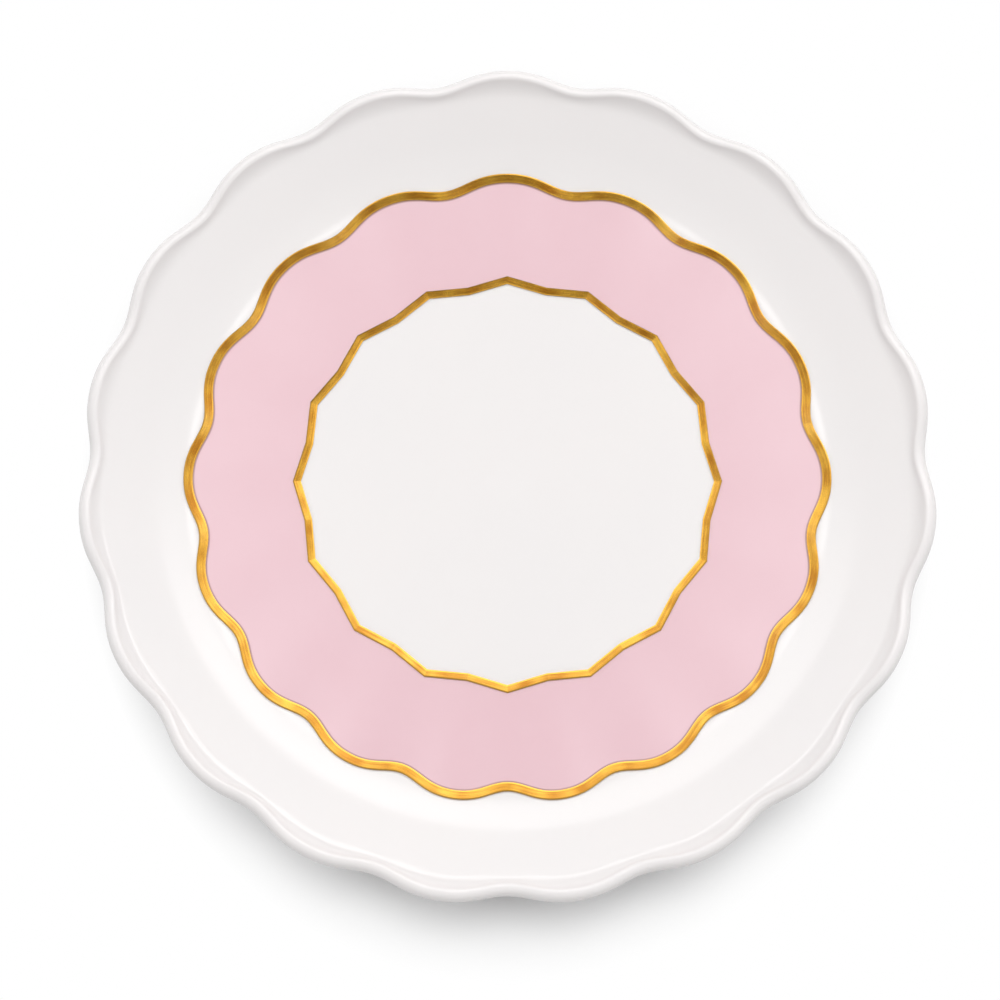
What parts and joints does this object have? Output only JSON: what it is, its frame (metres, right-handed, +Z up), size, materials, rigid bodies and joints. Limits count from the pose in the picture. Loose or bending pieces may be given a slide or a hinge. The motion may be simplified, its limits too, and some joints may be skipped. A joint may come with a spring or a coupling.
{
  "type": "scalloped dessert plate",
  "caption": "White glazed plate with a scalloped lip, a flat well and a foot ring, decorated with a pink enamel band between a wavy and a zigzag gold line; serves dessert.",
  "frame": {"origin": "on the table, under the middle of the plate, at the centre of the foot ring's standing face", "axes": "+Z up, along the plate's axis; +Y to the back, through the tip of a lobe; +X to the right"},
  "size_m": [0.209, 0.209, 0.0155],
  "materials": {
    "white_glaze": "glossy white glaze over porcelain",
    "bare_porcelain": "matt, unglazed and ground flat where the plate stands",
    "pink_enamel": "smooth satin on-glaze enamel, pale pink",
    "gilding": "burnished raised gilding, warm gold"
  },
  "bodies": {
    "root": {"plate_body": "white_glaze", "foot_ring": "bare_porcelain", "pink_band": "pink_enamel", "wavy_gold_line": "gilding", "zigzag_gold_line": "gilding"}
  },
  "joints": []
}
